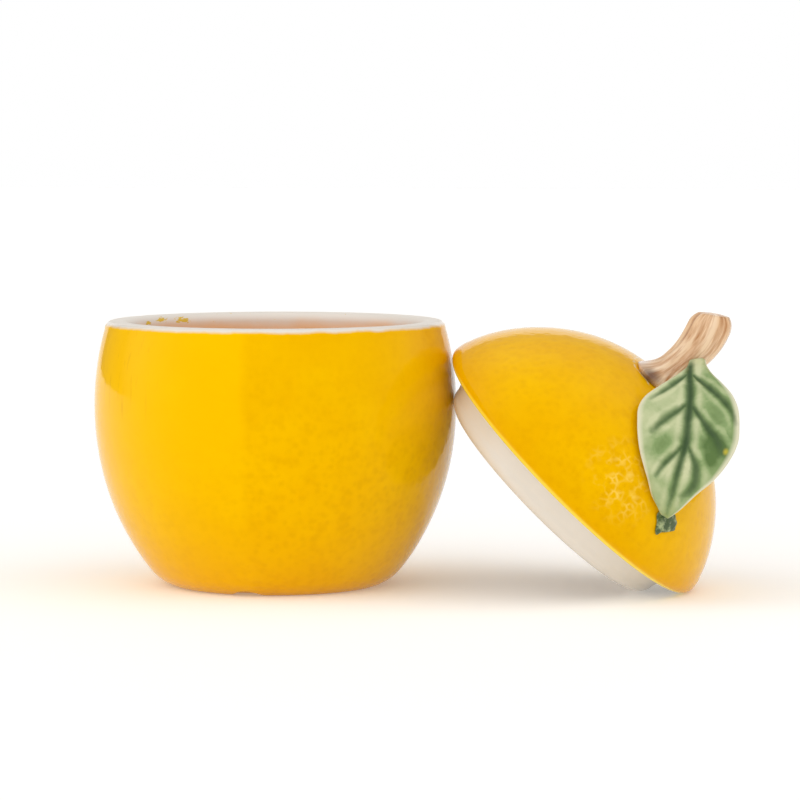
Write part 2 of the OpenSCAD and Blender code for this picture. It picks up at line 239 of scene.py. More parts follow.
def peel(tree, where, pitch_mm, strength):
    """The colour and the bump of dimpled yellow glaze. strength is from 0, smooth, to 1."""
    cells = node(tree, "TexVoronoi", {"Vector": where, "Scale": 1000 / pitch_mm, "Smoothness": 0.6,
                                      "Randomness": 0.8}, feature="SMOOTH_F1")
    uneven = node(tree, "TexNoise", {"Vector": where, "Scale": 620 / pitch_mm, "Detail": 2.0,
                                     "Roughness": 0.6})
    mixed = node(tree, "Math", {0: uneven.outputs["Fac"], 1: -1.5, 2: cells.outputs["Distance"]},
                 operation="MULTIPLY_ADD")
    dimple = node(tree, "MapRange", {"Value": mixed.outputs[0], "From Min": -0.9, "From Max": 0.05,
                                     "To Min": 1.0, "To Max": 0.0}, interpolation_type="SMOOTHSTEP")
    depth = node(tree, "Math", {0: dimple.outputs[0], 1: strength}, operation="MULTIPLY")
    drift = node(tree, "TexNoise", {"Vector": where, "Scale": 45.0, "Detail": 5.0, "Roughness": 0.68})
    patch = node(tree, "MapRange", {"Value": drift.outputs["Fac"], "From Min": 0.35, "From Max": 0.65})
    ground = node(tree, "Mix", {0: patch.outputs[0], 6: linear("f2b600"), 7: linear("f7bf00")},
                  data_type="RGBA")
    pooled = node(tree, "Math", {0: depth.outputs[0], 1: 0.5}, operation="MULTIPLY")
    colour = node(tree, "Mix", {0: pooled.outputs[0], 6: ground.outputs[2], 7: DEEP_YELLOW},
                  data_type="RGBA")
    height = node(tree, "Math", {0: depth.outputs[0], 1: -1.0}, operation="MULTIPLY")
    bump = node(tree, "Bump", {"Height": height.outputs[0], "Strength": 0.5, "Distance": 0.00012})
    return colour.outputs[2], bump.outputs[0]


def yellow_glass(tree, colour, bump):
    """The glossy surface of the yellow glaze."""
    return node(tree, "BsdfPrincipled", {"Base Color": colour, "Roughness": 0.07, "Normal": bump,
                                         "IOR": 1.5, "Specular IOR Level": 0.22,
                                         "Specular Tint": linear("ffd21e")})


# %% [markdown]
# ## The pot's yellow
# The peel is nearly smooth at the top left and stronger towards the lower right. Left of an upright line,
# just left of the middle, the yellow is painted brighter, more so higher up: a painted reflection of the
# soft box in front on the left. Further left, a dry brush left a few upright streaks. Near the foot the
# yellow is painted a little deeper: painted shade. On the lip the yellow stops a millimetre below the
# crest, at a line that thins out and wavers as a hand does, and the clear glaze shows the off-white clay.

# %% Mix the pot's yellow
POT_PITCH = 2.1
pot_yellow, tree = new_material("yellow_majolica_glaze")
place = node(tree, "TexCoord").outputs["Object"]
parts = node(tree, "SeparateXYZ", {0: place})
slope = node(tree, "VectorMath", {0: place, 1: (6.5, 1.0, -11.0)}, operation="DOT_PRODUCT")
fade = node(tree, "TexNoise", {"Vector": place, "Scale": 25.0, "Detail": 1.0})
worn = node(tree, "Math", {0: fade.outputs["Fac"], 1: slope.outputs["Value"]}, operation="ADD")
calm = node(tree, "MapRange", {"Value": worn.outputs[0], "From Min": -0.3, "From Max": 0.4,
                               "To Min": 0.12, "To Max": 0.9})
colour, bump = peel(tree, place, POT_PITCH, calm.outputs[0])
# Painted reflection of the left soft box: left of an upright line the yellow is made brighter.
reflection_edge = node(tree, "Math", {0: fade.outputs["Fac"], 1: 0.006, 2: parts.outputs["X"]},
               operation="MULTIPLY_ADD")
thin = node(tree, "MapRange", {"Value": reflection_edge.outputs[0], "From Min": 0.006, "From Max": 0.0035,
                               "To Max": 0.6})
upper = node(tree, "MapRange", {"Value": parts.outputs["Z"], "From Min": 0.02, "From Max": 0.05,
                                "To Min": 0.3})
painted_reflection = node(tree, "Math", {0: thin.outputs[0], 1: upper.outputs[0]}, operation="MULTIPLY")
# Painted shade: the yellow is made deeper towards the foot.
darker_low = node(tree, "MapRange", {"Value": parts.outputs["Z"], "From Min": 0.03, "From Max": 0.002,
                                 "To Max": 0.45})
darkened_low = node(tree, "Mix", {0: darker_low.outputs[0], 6: colour, 7: DEEP_YELLOW}, data_type="RGBA")
coat_and_painted_reflection = node(tree, "Mix", {0: painted_reflection.outputs[0], 6: darkened_low.outputs[2], 7: linear("fdc600")},
             data_type="RGBA")
# The yellow is one coat; its brighter part left of the middle is the painted reflection.
print("peel", POT_PITCH, "mm apart, in two coats")

# %% The brush's streaks and the yellow's upper edge
OFF_WHITE = linear("e9e3da")
grain = node(tree, "Mapping", {"Vector": place, "Scale": (900.0, 900.0, 60.0)})
bristle = node(tree, "TexNoise", {"Vector": grain.outputs[0], "Scale": 1.0, "Detail": 2.0})
mark = node(tree, "MapRange", {"Value": bristle.outputs["Fac"], "From Min": 0.58, "From Max": 0.72})
swept = node(tree, "VectorMath", {0: place, 1: (-0.035, -0.0365, 0.059)}, operation="DISTANCE")
zone = node(tree, "MapRange", {"Value": swept.outputs["Value"], "From Min": 0.016, "From Max": 0.008,
                               "To Max": 0.5})
streak = node(tree, "Math", {0: mark.outputs[0], 1: zone.outputs[0]}, operation="MULTIPLY")
brushed = node(tree, "Mix", {0: streak.outputs[0], 6: coat_and_painted_reflection.outputs[2], 7: linear("dda000")},
               data_type="RGBA")
sway = node(tree, "TexNoise", {"Vector": place, "Scale": 150.0, "Detail": 3.0, "Roughness": 0.6})
edge = node(tree, "Math", {0: sway.outputs["Fac"], 1: -0.0012, 2: parts.outputs["Z"]},
            operation="MULTIPLY_ADD")
lip = node(tree, "MapRange", {"Value": edge.outputs[0], "From Min": 0.0716, "From Max": 0.0724})
painted = node(tree, "Mix", {0: lip.outputs[0], 6: brushed.outputs[2], 7: OFF_WHITE},
               data_type="RGBA")
finish_material(pot_yellow, yellow_glass(tree, painted.outputs[2], bump))

# %% [markdown]
# ## The lip and the inside
# They have clear glaze, wiped thin, so they shine less than the yellow. It is nearly white at the lip
# and painted a warm tan further down inside, darker with depth: painted shade of the pot's hollow.
# Three small clusters of yellow specks at the back of the lip are where the brush touched it. They are
# wider than they are high, so a Mapping node makes heights count three times.

# %% Mix the clear glaze
FLATTER = 3
TOUCHES = [  # x, y and three times z of the middle of each cluster, and its reach, in mm
    ((-38.8, 10.4, 215.2), 2.6), ((-36.4, 16.8, 216.9), 3.8), ((-32, 24, 215.6), 4.6)]
pot_inside, tree = new_material("clear_glaze_with_painted_inside_shade")
place = node(tree, "TexCoord").outputs["Object"]
parts = node(tree, "SeparateXYZ", {0: place})
cloud = node(tree, "TexNoise", {"Vector": place, "Scale": 70.0, "Detail": 3.0, "Roughness": 0.6})
# Painted shade: below the lip the inside is made tan, by height.
inside_shade_height = node(tree, "Math", {0: cloud.outputs["Fac"], 1: -0.003, 2: parts.outputs["Z"]},
           operation="MULTIPLY_ADD")
thin = node(tree, "MapRange", {"Value": inside_shade_height.outputs[0], "From Min": 0.0666, "From Max": 0.0712},
            interpolation_type="SMOOTHSTEP")
clay = node(tree, "Mix", {0: thin.outputs[0], 6: linear("f2c088"), 7: OFF_WHITE}, data_type="RGBA")
touch = 0.0
squat = node(tree, "Mapping", {"Vector": place, "Scale": (1, 1, FLATTER)})
for spot, reach in TOUCHES:
    off = node(tree, "VectorMath", {0: squat.outputs[0], 1: [c / 1000 for c in spot]},
               operation="DISTANCE")
    near = node(tree, "MapRange", {"Value": off.outputs["Value"], "From Min": reach / 1000,
                                   "From Max": 0.0})
    touch = node(tree, "Math", {0: near.outputs[0], 1: touch}, operation="MAXIMUM").outputs[0]
spatter = node(tree, "TexNoise", {"Vector": squat.outputs[0], "Scale": 700.0, "Detail": 2.0,
                                  "Roughness": 0.6})
drops = node(tree, "Math", {0: touch, 1: 0.5, 2: spatter.outputs["Fac"]}, operation="MULTIPLY_ADD")
speck = node(tree, "MapRange", {"Value": drops.outputs[0], "From Min": 0.72, "From Max": 0.78,
                                "To Max": 0.92})
spotted = node(tree, "Mix", {0: speck.outputs[0], 6: clay.outputs[2], 7: linear("e2bb00")},
               data_type="RGBA")
glass = node(tree, "BsdfPrincipled", {"Base Color": spotted.outputs[2], "Roughness": 0.45,
                                      "Specular IOR Level": 0.2})
finish_material(pot_inside, glass)

# %% [markdown]
# ## The foot
# The flat of the foot is wiped bare, so that the pot doesn't stick to the kiln shelf. Its grit is drawn
# about a millimetre across, coarser than it is, so that it shows.

# %% Mix the bare clay
bare_clay, tree = new_material("bare_fired_clay")
place = node(tree, "TexCoord").outputs["Object"]
grit = node(tree, "TexNoise", {"Vector": place, "Scale": 900.0, "Detail": 4.0})
tint = node(tree, "Mix", {0: grit.outputs["Fac"], 6: linear("d9cdbb"), 7: linear("efe7da")},
            data_type="RGBA")
tooth = node(tree, "Bump", {"Height": grit.outputs["Fac"], "Strength": 0.4, "Distance": 0.0001})
dull = node(tree, "BsdfPrincipled", {"Base Color": tint.outputs[2], "Roughness": 0.85,
                                     "Normal": tooth.outputs[0]})
finish_material(bare_clay, dull)

# %% [markdown]
# ## The pot
# The side is part of a tall egg, widest at 50 mm, above a foot with a soft corner. The thick lip is two
# small roundings, the neck inside is straight, and then the wall swells and comes down to the floor.

# %% The pot's section
POT_R, POT_H, BELLY_H, EGG_HALF_H = 50.5, 73.5, 50.0, 63.5
FOOT_R, FOOT_ROUND, WALL, FLOOR = 28.25, 4.0, 5.0, 6.0
MOUTH_R, NECK_H, SHOULDER_H = 40.0, 12.0, 8.0
LIP_ROUND, MOUTH_ROUND, FLOOR_ROUND = 2.2, 2.6, 8.0
CORNER_ROWS, FLANK_ROWS, WELL_ROWS = 14, 72, 40


def egg_r(z):
    return POT_R * math.sqrt(1 - ((z - BELLY_H) / EGG_HALF_H) ** 2)


def side_r(z):
    corner = max(0, 1 - z / FOOT_ROUND)
    return egg_r(z) - (egg_r(0) - FOOT_R) * (1 - math.sqrt(1 - corner ** 2))


def inside_r(z):
    return MOUTH_R + (side_r(z) - WALL - MOUTH_R) * ease((POT_H - NECK_H - z) / SHOULDER_H)


lip_z, neck_z, basin_z = POT_H - LIP_ROUND, POT_H - NECK_H, FLOOR + FLOOR_ROUND
corner_z = [FOOT_ROUND * (1 - math.cos(math.pi / 2 * i / CORNER_ROWS)) for i in range(CORNER_ROWS + 1)]
flank_z = [FOOT_ROUND + (lip_z - FOOT_ROUND) * i / FLANK_ROWS for i in range(1, FLANK_ROWS)]
well_z = [neck_z + (basin_z - neck_z) * i / WELL_ROWS for i in range(WELL_ROWS)]
sole = [(r, 0) for r in (0, 9, 18, 22, 24, 25, 26, 27, 27.7)]
lip_out = quarter((side_r(lip_z) - LIP_ROUND, lip_z), LIP_ROUND, LIP_ROUND, 0, 90)
lip_in = quarter((MOUTH_R + MOUTH_ROUND, POT_H - MOUTH_ROUND), MOUTH_ROUND, MOUTH_ROUND, 90, 180)
well = [(inside_r(z), z) for z in well_z]
basin = quarter((inside_r(basin_z) - FLOOR_ROUND, basin_z), FLOOR_ROUND, FLOOR_ROUND, 0, -90, 12)
outside = sole + [(side_r(z), z) for z in corner_z + flank_z] + lip_out
section = outside + lip_in + well + basin + [(14, FLOOR), (0, FLOOR)]
print("pot section:", len(section), "points, lip", round(side_r(lip_z) - MOUTH_R, 1), "mm wide")

# %% [markdown]
# The notch in the foot's front edge was pressed with a finger or a tool: a shallow arch 8.5 mm wide. The
# points of the sole and its corner that lie under the arch are lifted onto it.

# %% Turn the pot, and press the notch
POT_STEPS, POT_WAVER, POT_WAVE = 300, 0.2, 24
NOTCH_W, NOTCH_H, NOTCH_TURN = 8.5, 1.4, math.radians(-94)
INSIDE, SOLE = 1, 2
bm = turned(section, POT_STEPS, marks=(len(outside) - 3, len(section)))
arch_r = ((NOTCH_W / 2) ** 2 + NOTCH_H ** 2) / (2 * NOTCH_H)
across = Vector((-math.sin(NOTCH_TURN), math.cos(NOTCH_TURN), 0))
along = Vector((math.cos(NOTCH_TURN), math.sin(NOTCH_TURN), 0))
inside = bm.verts.layers.float["inside"]
for v in bm.verts:
    if v[inside]:
        continue
    way = Vector((v.co.x, v.co.y, 0)).normalized()
    if v.co.z > FOOT_ROUND:
        v.co -= way * waver(v.co, POT_WAVER, POT_WAVE) * ease((v.co.z - FOOT_ROUND) / 10)
    a, r = v.co.dot(across), v.co.dot(along)
    if v.co.z < NOTCH_H and abs(a) < NOTCH_W / 2 and r > FOOT_R - NOTCH_W / 2:
        arch = NOTCH_H - arch_r + math.sqrt(arch_r ** 2 - a * a)
        v.co.z = max(v.co.z, arch * ease((r - FOOT_R + NOTCH_W / 2) / 3))
for face in bm.faces:
    if all(v[inside] for v in face.verts):
        face.material_index = INSIDE
    elif all(v.co.z < 0.01 for v in face.verts):
        face.material_index = SOLE
finish_piece(bm, "pot", Matrix(), [pot_yellow, pot_inside, bare_clay], "pot", ["pot_body"])

# %% [markdown]
# ## Where the lid leans
# The lid is off. It stands on its edge and leans on the pot, turned by 45 degrees about the Y axis. Every
# piece of it is shaped upright in the lid's own frame, whose origin is in the middle of the flat that
# seats on the pot's lip, and one matrix leans it. The materials undo that matrix with a Mapping node, so
# their patterns follow the lid.

# %% The lid's frame
LID_AT, LID_LEAN = Vector((0.08206, 0, 0.031544)), math.radians(45)
leaned = Matrix.Translation(LID_AT) @ Matrix.Rotation(LID_LEAN, 4, "Y")


def lid_place(tree):
    """Coordinates in the lid's own frame, in metres."""
    row = node(tree, "TexCoord").outputs["Object"]
    return node(tree, "Mapping", {"Vector": row, "Location": LID_AT, "Rotation": (0, LID_LEAN, 0)},
                vector_type="TEXTURE").outputs[0]


# %% [markdown]
# ## The dome's glaze
# The dome has the same yellow. Low down beside the leaf its dimples are deeper, and some ridges between
# them are painted pale: painted highlights, where the dimple edges catch the light. It is darker in a
# band above the lid's edge, is thin and bright on the edge itself, and stops there: the underside is clear
# glaze. Round the foot of the stalk the wet slip that holds it left a broken pale line in the yellow.

# %% Mix the dome's yellow
LID_R, LID_EDGE, DOME_H, SHELL, LEDGE = 46.25, 2.8, 35.0, 4.5, 4.5
STALK_FORWARD, STALK_FOOT_R = 4.5, 8.25
DOME_PITCH, BESIDE_LEAF = 2.0, (0.0125, -0.0385, 0.0160)

dome_yellow, tree = new_material("yellow_majolica_glaze_on_the_dome")
place = lid_place(tree)
parts = node(tree, "SeparateXYZ", {0: place})
beside = node(tree, "VectorMath", {0: place, 1: BESIDE_LEAF}, operation="DISTANCE")
deep = node(tree, "MapRange", {"Value": beside.outputs["Value"], "From Min": 0.007, "From Max": 0.026,
                               "To Min": 1.0, "To Max": 0.6}, interpolation_type="SMOOTHSTEP")
colour, bump = peel(tree, place, DOME_PITCH, deep.outputs[0])
# Painted highlights: a pale yellow on some of the ridges between the dimples, near the leaf.
borders = node(tree, "TexVoronoi", {"Vector": place, "Scale": 1000 / DOME_PITCH, "Randomness": 0.8},
               feature="DISTANCE_TO_EDGE")
ridge = node(tree, "MapRange", {"Value": borders.outputs["Distance"], "From Min": 0.22,
                                "From Max": 0.0})
worn = node(tree, "TexNoise", {"Vector": place, "Scale": 300.0, "Detail": 1.0})
chosen = node(tree, "MapRange", {"Value": worn.outputs["Fac"], "From Min": 0.46, "From Max": 0.68})
close = node(tree, "MapRange", {"Value": beside.outputs["Value"], "From Min": 0.013,
                                "From Max": 0.005, "To Max": 0.8})
glint_ridges = node(tree, "Math", {0: ridge.outputs[0], 1: chosen.outputs[0]}, operation="MULTIPLY")
painted_glints = node(tree, "Math", {0: glint_ridges.outputs[0], 1: close.outputs[0]}, operation="MULTIPLY")
with_painted_glints = node(tree, "Mix", {0: painted_glints.outputs[0], 6: colour, 7: linear("ffd862")}, data_type="RGBA")
print("dimples", DOME_PITCH, "mm apart, deepest beside the leaf")

# %% The band, the edge and the underside
darker_low = node(tree, "MapRange", {"Value": parts.outputs["Z"], "From Min": 0.012, "From Max": 0.003,
                                 "To Max": 0.45})
darkened_low = node(tree, "Mix", {0: darker_low.outputs[0], 6: with_painted_glints.outputs[2], 7: DEEP_YELLOW},
                data_type="RGBA")
hem = node(tree, "MapRange", {"Value": parts.outputs["Z"], "From Min": 0.0015, "From Max": 0.0009,
                              "To Max": 0.9})
hemmed = node(tree, "Mix", {0: hem.outputs[0], 6: darkened_low.outputs[2], 7: linear("ffe24a")},
              data_type="RGBA")
under = node(tree, "MapRange", {"Value": parts.outputs["Z"], "From Min": 0.0002, "From Max": 0.0})
print("a darker band up to 12 mm above the edge")

# %% The slip line round the stalk
SLIP_RING_R = STALK_FOOT_R + 0.2
flat = node(tree, "VectorMath", {0: place, 1: (1, 1, 0)}, operation="MULTIPLY")
off_stalk = node(tree, "VectorMath", {0: flat.outputs[0], 1: (0, -STALK_FORWARD / 1000, 0)},
                 operation="DISTANCE")
wander = node(tree, "TexNoise", {"Vector": place, "Scale": 260.0, "Detail": 2.0})
ring_at = node(tree, "Math", {0: wander.outputs["Fac"], 1: -0.003, 2: off_stalk.outputs["Value"]},
               operation="MULTIPLY_ADD")
ring_off = node(tree, "Math", {0: ring_at.outputs[0], 1: SLIP_RING_R / 1000}, operation="SUBTRACT")
ring_far = node(tree, "Math", {0: ring_off.outputs[0]}, operation="ABSOLUTE")
line = node(tree, "MapRange", {"Value": ring_far.outputs[0], "From Min": 0.0005, "From Max": 0.0001,
                               "To Max": 0.8})
gaps = node(tree, "TexNoise", {"Vector": place, "Scale": 420.0})
kept = node(tree, "MapRange", {"Value": gaps.outputs["Fac"], "From Min": 0.42, "From Max": 0.52})
slip = node(tree, "Math", {0: line.outputs[0], 1: kept.outputs[0]}, operation="MULTIPLY")
slipped = node(tree, "Mix", {0: slip.outputs[0], 6: hemmed.outputs[2], 7: linear("ead9b4")},
               data_type="RGBA")
painted = node(tree, "Mix", {0: under.outputs[0], 6: slipped.outputs[2], 7: linear("e6ddd0")},
               data_type="RGBA")
finish_material(dome_yellow, yellow_glass(tree, painted.outputs[2], bump))

# %% [markdown]
# ## The ring's glaze
# The ring and the dome's inside have the same clear glaze as the pot's inside, thin and even, so they are
# cream.

# %% Mix the cream
ring_cream, tree = new_material("clear_glaze_on_cream_clay")
place = lid_place(tree)
cloud = node(tree, "TexNoise", {"Vector": place, "Scale": 70.0, "Detail": 2.0})
clay = node(tree, "Mix", {0: cloud.outputs["Fac"], 6: linear("e0d8cb"), 7: linear("e8e1d7")},
            data_type="RGBA")
glass = node(tree, "BsdfPrincipled", {"Base Color": clay.outputs[2], "Roughness": 0.25,
                                      "Specular IOR Level": 0.3})
finish_material(ring_cream, glass)

# %% [markdown]
# ## The dome and its ring
# The dome is fuller than half a ball near its edge and flatter on top. Underneath is a flat ledge, and
# the locating ring stands on the ledge: it tapers and has a soft lower corner, so that it finds the
# mouth by itself. Both are turned like the pot.

# %% Turn the dome
DOME_STEPS, DOME_WAVER, DOME_WAVE = 280, 0.22, 20
BACK_ROWS, VAULT_ROWS = 80, 40
RING_DEPTH, RING_T, RING_GAP, RING_DRAFT, RING_ROUND = 8.6, 5.4, 0.5, 1.5, 4.0
ring_top_r = MOUTH_R - RING_GAP
ring_low_r = ring_top_r - RING_DRAFT
ring_in_r = ring_low_r - RING_T


def dome_z(r, shell=0.0):
    """Height of the dome's outside over the seat, or of its inside when a shell's thickness is given."""
    return LID_EDGE + (DOME_H - shell) * max(0, 1 - (r / (LID_R - shell)) ** 2) ** (2 / 3)


def dome_r(z, shell=0.0):
    """The dome's radius at a height, the other way round."""
    return (LID_R - shell) * math.sqrt(1 - ((z - LID_EDGE) / (DOME_H - shell)) ** 1.5)


ledge_r = dome_r(LEDGE, SHELL)
back_r = [LID_R * math.sin(math.pi / 2 * i / BACK_ROWS) for i in range(BACK_ROWS)]
vault_r = [ledge_r * math.cos(math.pi / 2 * i / VAULT_ROWS) for i in range(VAULT_ROWS + 1)]
rounding = quarter((LID_R - LID_EDGE, LID_EDGE), LID_EDGE, LID_EDGE, 0, -90, 14)
outside = [(r, dome_z(r)) for r in back_r] + rounding
shell = outside + [(ring_in_r, 0), (ring_in_r, LEDGE)] + [(r, dome_z(r, SHELL)) for r in vault_r]
bm = turned(shell, DOME_STEPS, marks=(len(outside) - 1, len(shell)))
inside = bm.verts.layers.float["inside"]
for face in bm.faces:
    face.material_index = int(all(v[inside] for v in face.verts))
for v in bm.verts:
    if v.co.z > 6 and v.co.z > dome_z(v.co.xy.length, SHELL) + 2:
        v.co -= v.co.normalized() * waver(v.co, DOME_WAVER, DOME_WAVE)
finish_piece(bm, "lid_dome_shell", leaned, [dome_yellow, ring_cream], "lid", ["lid_dome"])

# %% Turn the ring
RING_STEPS = 200
in_round = RING_T - RING_ROUND
outer = quarter((ring_low_r - RING_ROUND, RING_ROUND - RING_DEPTH), RING_ROUND, RING_ROUND, 0, -90, 12)
inner = quarter((ring_in_r + in_round, in_round - RING_DEPTH), in_round, in_round, -90, -180, 6)
side = [(ring_top_r - RING_DRAFT * i / 6, (RING_ROUND - RING_DEPTH) * i / 6) for i in range(6)]
bm = turned([(ring_in_r, 0)] + side + outer + inner[1:], RING_STEPS, closed=True)
finish_piece(bm, "locating_ring", leaned, [ring_cream], "lid", ["lid_ring"])

# %% [markdown]
# ## Shapes that grow along a line
# The stalk and the leaf were rolled and cut by hand. Each is a row of loops along a bent line: a circle
# is made, its edge is extruded once for every loop, and the new points are set on that loop. Values that
# the glaze needs later, such as how far along a point lies or how deep it is carved, are kept on the
# points as attributes, so that the pattern follows the shape.


# %% Helpers for grown shapes
def on_line(p, s):
    """A point on a curve with four control points, at a share of its length."""
    return p[0] * (1 - s) ** 3 + p[1] * 3 * s * (1 - s) ** 2 + p[2] * 3 * s * s * (1 - s) + p[3] * s ** 3


def line_way(p, s):
    """The direction of that curve."""
    way = (p[1] - p[0]) * (1 - s) ** 2 + (p[2] - p[1]) * 2 * s * (1 - s) + (p[3] - p[2]) * s * s
    return way.normalized()


def grown(loops, names):
    """Extrudes a circle through loops of (point, values), and keeps the values as named attributes."""
    bm = bmesh.new()
    layers = [bm.verts.layers.float.new(name) for name in names]
    row = bmesh.ops.create_circle(bm, segments=len(loops[0]), radius=1)["verts"]
    edges = bm.edges[:]
    ends = [edges]
    for i, loop in enumerate(loops):
        if i:
            geom = bmesh.ops.extrude_edge_only(bm, edges=edges)["geom"]
            fresh = {g for g in geom if isinstance(g, bmesh.types.BMVert)}
            edges = [g for g in geom if isinstance(g, bmesh.types.BMEdge) and set(g.verts) <= fresh]
            row = [next(e.other_vert(v) for e in v.link_edges if e.other_vert(v) in fresh) for v in row]
        for v, (point, values) in zip(row, loop):
            v.co = point
            for layer, value in zip(layers, values):
                v[layer] = value
    for end in (ends[0], edges):
        bmesh.ops.contextual_create(bm, geom=end)
    bmesh.ops.recalc_face_normals(bm, faces=bm.faces)
    return bm


# %% [markdown]
# ## The stalk's glaze
# Thin tan glaze over pale clay, with strokes of brown that a brush drew along the grooves. It is made
# palest low down, painted light where the leaf shades the stalk, and darker towards the cut: painted
# shade.
# At the very foot the glaze gathers into a dark pool in front and a whitish one on the left.
# The attributes "along" and the pair "side_x" and "side_y" say where a point lies on the stalk, so
# that the strokes run with it.

# %% Make the stalk's material
stalk_tan, tree = new_material("tan_glaze_with_brown_strokes")
along, side_x, side_y, groove, dark_pool, white_pool = (
    node(tree, "Attribute", attribute_name=name).outputs["Fac"]
    for name in ("along", "side_x", "side_y", "groove", "dark_pool", "white_pool"))
round_it = node(tree, "CombineXYZ", {0: side_x, 1: side_y, 2: along})
fibre = node(tree, "Mapping", {"Vector": round_it.outputs[0], "Scale": (2.4, 2.4, 1.3)})
stroke = node(tree, "TexNoise", {"Vector": fibre.outputs[0], "Scale": 1.6, "Detail": 3.0,
                                 "Roughness": 0.62})
wash = node(tree, "TexNoise", {"Vector": round_it.outputs[0], "Scale": 1.7, "Detail": 1.0})
lines = node(tree, "Math", {0: groove, 1: 0.22, 2: stroke.outputs["Fac"]}, operation="MULTIPLY_ADD")
brown = node(tree, "MapRange", {"Value": lines.outputs[0], "From Min": 0.54, "From Max": 0.8,
                                "To Max": 0.9})
# Painted light and shade on top of the random wash: paler low down, darker towards the cut.
wash_and_painted_light = node(tree, "Math", {0: along, 1: -0.5, 2: wash.outputs["Fac"]}, operation="MULTIPLY_ADD")
paleness_with_painted_light = node(tree, "MapRange", {"Value": wash_and_painted_light.outputs[0], "From Min": -0.3, "From Max": 0.65})
pale = node(tree, "Mix", {0: paleness_with_painted_light.outputs[0], 6: linear("e4b684"), 7: linear("fae6ca")},
            data_type="RGBA")
striped = node(tree, "Mix", {0: brown.outputs[0], 6: pale.outputs[2], 7: linear("b0743e")},
               data_type="RGBA")
sunk = node(tree, "Mix", {0: dark_pool, 6: striped.outputs[2], 7: linear("5a3a2c")},
            data_type="RGBA")
milky = node(tree, "Mix", {0: white_pool, 6: sunk.outputs[2], 7: linear("e6dcd8")},
             data_type="RGBA")
skin = node(tree, "Bump", {"Height": stroke.outputs["Fac"], "Strength": 0.35, "Distance": 0.0003})
glass = node(tree, "BsdfPrincipled", {"Base Color": milky.outputs[2], "Roughness": 0.22,
                                      "Normal": skin.outputs[0], "Specular IOR Level": 0.4})
finish_material(stalk_tan, glass)

# %% [markdown]
# ## The stalk
# It rises in front of the dome's middle, leans one way and then back, and ends in a cut that was rounded
# with a wet finger. Its foot spreads over the dome like a small skirt, furthest in front on the left,
# where it was smeared down. Seven main grooves and some finer ones run along it.

# %% The stalk's skin
STALK_L, NECK_R, END_R, STALK_CUT = 22.2, 4.75, 5.8, 4.0
SLIP_T, FOOT_SHARE, END_SHARE, FOOT_RISE = 0.15, 0.26, 0.86, 0.06
GROOVE, GROOVES, SMEAR, SMEAR_TURN = 0.35, 7, 0.65, 238
dome_top = dome_z(0)
stalk_line = [Vector((x * STALK_L, -STALK_FORWARD, dome_top + SLIP_T + z * STALK_L))
              for x, z in ((0, 0), (-0.04, 0.3), (0.1, 0.6), (-0.14, 1))]


def apart(turn, degrees):
    """The angle between two directions, the second one in degrees."""
    return math.acos(math.cos(turn - math.radians(degrees)))


def stalk_r(s, wider=1.0):
    """Half width of the stalk at a share of its length. wider spreads its foot."""
    body = NECK_R + (END_R - NECK_R) * ease((s - FOOT_SHARE) / (END_SHARE - FOOT_SHARE))
    flare = (STALK_FOOT_R - NECK_R) * max(0, 1 - s / FOOT_SHARE) ** 2.4 * wider
    cap = 1 if s < END_SHARE else math.sqrt(1 - ((s - END_SHARE) / (1 - END_SHARE)) ** 2.4 * 0.5)
    return (body + flare) * cap


def stalk_point(s, turn, inset=0.0):
    """A point on the stalk's skin, and how deep in a groove it is. Low points stay on the dome."""
    way = line_way(stalk_line, s)
    side = Vector((0, 1, 0)).cross(way).normalized()
    fine = 0.5 + 0.5 * noise.noise(Vector((3 * math.cos(turn), 3 * math.sin(turn), s * 2)))
    dip = (0.5 + 0.5 * math.cos(GROOVES * turn)) * 0.65 + 0.5 * fine
    spread = 1 + SMEAR * ease(1 - apart(turn, SMEAR_TURN) / 1.1)
    r = (stalk_r(s, spread) + GROOVE * (1.1 - 2 * dip) * ease(s / FOOT_SHARE)) * (1 - inset)
    point = on_line(stalk_line, s) + r * (side * math.cos(turn) + Vector((0, math.sin(turn), 0)))
    lean = math.tan(math.radians(STALK_CUT)) * ease((s - FOOT_SHARE) / (END_SHARE - FOOT_SHARE))
    point += way * lean * r * math.cos(turn)
    lowest = dome_z(point.xy.length) + SLIP_T + FOOT_RISE * STALK_L * min(1, s / FOOT_RISE)
    point.z = max(point.z, lowest)
    return point, dip


print("stalk:", round(2 * stalk_r(FOOT_SHARE), 1), "mm wide at its neck,", GROOVES, "grooves")

# %% Grow the stalk
STALK_ROUND, STALK_ROWS, CROWN, DARK_TURN, WHITE_TURN = 96, 70, 0.4, 250, 205
turns = [math.tau * j / STALK_ROUND for j in range(STALK_ROUND)]


def stalk_values(s, turn, dip):
    """along, side_x, side_y, groove, dark_pool and white_pool for a point of the stalk."""
    low = ease(1 - s / 0.1)
    dark, white = (ease(1 - apart(turn, at) / 0.5) for at in (DARK_TURN, WHITE_TURN))
    return s, math.cos(turn), math.sin(turn), dip, 0.85 * low * dark, 0.8 * low * white


def foot_loop(share):
    """A loop under the foot, along the dome, at a share of the way from its middle to its edge."""
    loop = []
    for turn in turns:
        spot = stalk_line[0] + (stalk_point(0, turn)[0] - stalk_line[0]) * share
        spot.z = dome_z(spot.xy.length) + SLIP_T
        loop.append((spot, stalk_values(0, turn, 0)))
    return loop


def stalk_loop(s, inset=0.0):
    """A loop round the stalk. On the cut, inset draws it towards the middle, and it is crowned."""
    rise = line_way(stalk_line, s) * CROWN * (1 - (1 - inset) ** 2)
    found = [(turn, *stalk_point(s, turn, inset)) for turn in turns]
    return [(point + rise, stalk_values(s, turn, dip)) for turn, point, dip in found]


